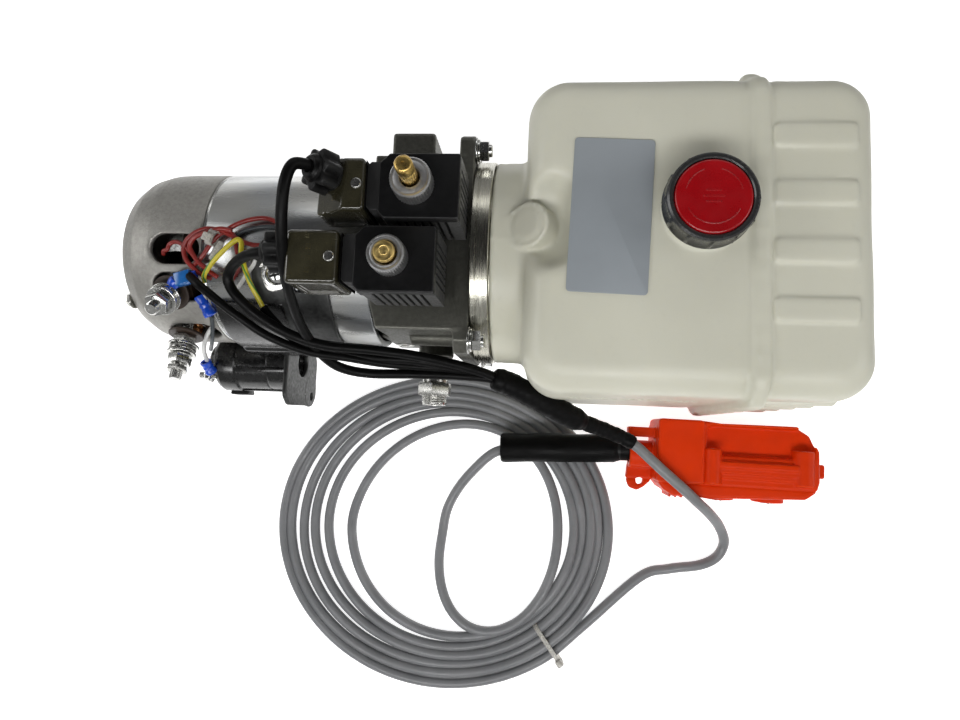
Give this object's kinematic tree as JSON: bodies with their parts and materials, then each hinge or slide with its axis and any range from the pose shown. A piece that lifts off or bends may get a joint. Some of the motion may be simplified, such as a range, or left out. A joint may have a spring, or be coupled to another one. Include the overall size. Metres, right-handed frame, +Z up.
{
  "type": "hydraulic power unit",
  "caption": "Motor-driven gear pump on an aluminium valve manifold with solenoid valves, plastic tank, start relay and a wired hand pendant, for a lifting cylinder.",
  "frame": {"origin": "centre of the manifold's bottom mounting face", "axes": "+X along the motor shaft from the motor towards the tank, +Z up from the mounting face towards the filler cap and the coils"},
  "size_m": [0.48, 0.4063, 0.223],
  "materials": {
    "barrel": "brushed, zinc-bright",
    "zinc": "cast and zinc plated, grainy satin",
    "copper": "varnished copper and steel laminations",
    "steel": "zinc-plated, satin",
    "dark_steel": "dark grey passivated steel",
    "bakelite": "moulded phenolic",
    "carbon": "sintered carbon",
    "aluminium": "machined and tumbled casting",
    "coil_plastic": "moulded black thermoplastic, fine satin",
    "knurled_nut": "knurled, grey anodised",
    "brass": "machined, knurled",
    "connector": "smoky translucent moulding",
    "black_plastic": "moulded, satin",
    "tank_plastic": "blow-moulded ivory polyethylene, soft sheen",
    "label": "blank grey-blue film",
    "rubber": "matte",
    "cap_red": "moulded red, satin gloss",
    "cable_black": "heat-shrink and cable jacket, satin",
    "cable_grey": "grey PVC jacket",
    "pendant_orange": "moulded signal orange, fine texture",
    "button_black": "moulded rubber cap"
  },
  "bodies": {
    "unit": {"motor_yoke": "barrel", "motor_end_cap": "zinc", "field_frame": "dark_steel", "brush_carrier": "bakelite", "brush_1": "carbon", "brush_2": "carbon", "rear_bearing": "steel", "front_bearing": "steel", "stud_a": "steel", "stud_nut_a": "steel", "stud_b": "steel", "stud_nut_b": "steel", "manifold": "aluminium", "pump_body": "aluminium", "pump_cover": "aluminium", "suction_tube": "tank_plastic", "suction_strainer": "steel", "relief_spring": "steel", "relief_plug": "steel", "outlet_fitting": "zinc", "adapter_ring": "zinc", "flange_bolt_1": "steel", "flange_bolt_2": "steel", "flange_bolt_3": "steel", "flange_bolt_4": "steel", "valve_upper_cartridge": "steel", "valve_upper_coil": "coil_plastic", "valve_upper_coil_nut": "knurled_nut", "valve_upper_plug": "connector", "valve_upper_gland": "black_plastic", "valve_lower_cartridge": "steel", "valve_lower_coil": "coil_plastic", "valve_lower_coil_nut": "knurled_nut", "valve_lower_plug": "connector", "valve_lower_gland": "black_plastic", "tank": "tank_plastic", "label_plate": "label", "relay_bracket": "dark_steel", "bracket_screw": "steel", "relay": "black_plastic", "harness": "cable_black", "pendant_cable": "cable_grey", "pendant_sleeve": "rubber", "pendant_shell_lower": "pendant_orange", "pendant_shell_upper": "pendant_orange"},
    "rotor": {"armature": "copper", "drive_coupling": "steel", "drive_gear": "steel"},
    "driven_gear": {"driven_gear": "steel"},
    "relief_poppet": {"relief_poppet": "steel"},
    "upper_plunger": {"valve_upper_plunger": "dark_steel"},
    "lower_plunger": {"valve_lower_plunger": "dark_steel"},
    "upper_override": {"valve_upper_override": "brass"},
    "lower_override": {"valve_lower_override": "brass"},
    "cap_gasket": {"cap_gasket": "rubber"},
    "filler_cap": {"cap_body": "black_plastic", "cap_inlay": "cap_red"},
    "relay_plunger": {"relay_plunger": "steel"},
    "raise_button": {"button_raise": "button_black"},
    "lower_button": {"button_lower": "button_black"}
  },
  "joints": [
    {"name": "shaft_spin", "type": "hinge", "parent": "unit", "child": "rotor", "pos_m": [0, 0, 0.05], "axis": [1, 0, 0], "continuous": true},
    {"name": "driven_gear_spin", "type": "hinge", "parent": "unit", "child": "driven_gear", "pos_m": [0.04, 0, 0.02118], "axis": [1, 0, 0], "continuous": true},
    {"name": "relief_lift", "type": "slide", "parent": "unit", "child": "relief_poppet", "axis": [-1, 0, 0], "range_m": [0, 0.0012], "deforming": ["relief_spring"]},
    {"name": "upper_valve_shift", "type": "slide", "parent": "unit", "child": "upper_plunger", "axis": [0, 0, 1], "range_m": [0, 0.003]},
    {"name": "lower_valve_shift", "type": "slide", "parent": "unit", "child": "lower_plunger", "axis": [0, 0, 1], "range_m": [0, 0.003]},
    {"name": "upper_override_push", "type": "slide", "parent": "unit", "child": "upper_override", "axis": [0, 0, 1], "range_m": [-0.0042, 0]},
    {"name": "lower_override_pull", "type": "slide", "parent": "unit", "child": "lower_override", "axis": [0, 0, 1], "range_m": [0, 0.004]},
    {"name": "cap_lift", "type": "slide", "parent": "unit", "child": "cap_gasket", "axis": [0, 0, 1], "range_m": [0, 0.0121]},
    {"name": "cap_turn", "type": "hinge", "parent": "cap_gasket", "child": "filler_cap", "pos_m": [0.161, 0.0135, 0.14], "axis": [0, 0, 1], "range_deg": [0, 1080]},
    {"name": "relay_pull_in", "type": "slide", "parent": "unit", "child": "relay_plunger", "axis": [-1, 0, 0], "range_m": [0, 0.003]},
    {"name": "raise_press", "type": "slide", "parent": "unit", "child": "raise_button", "axis": [0.02, 0.9998, 0], "range_m": [0, 0.0025]},
    {"name": "lower_press", "type": "slide", "parent": "unit", "child": "lower_button", "axis": [0.02, 0.9998, 0], "range_m": [0, 0.0025]}
  ],
  "couplings": [
    {"joint": "driven_gear_spin", "follows": "shaft_spin", "ratio": -1},
    {"joint": "cap_lift", "follows": "cap_turn", "m_per_rad": 0.00063662}
  ]
}
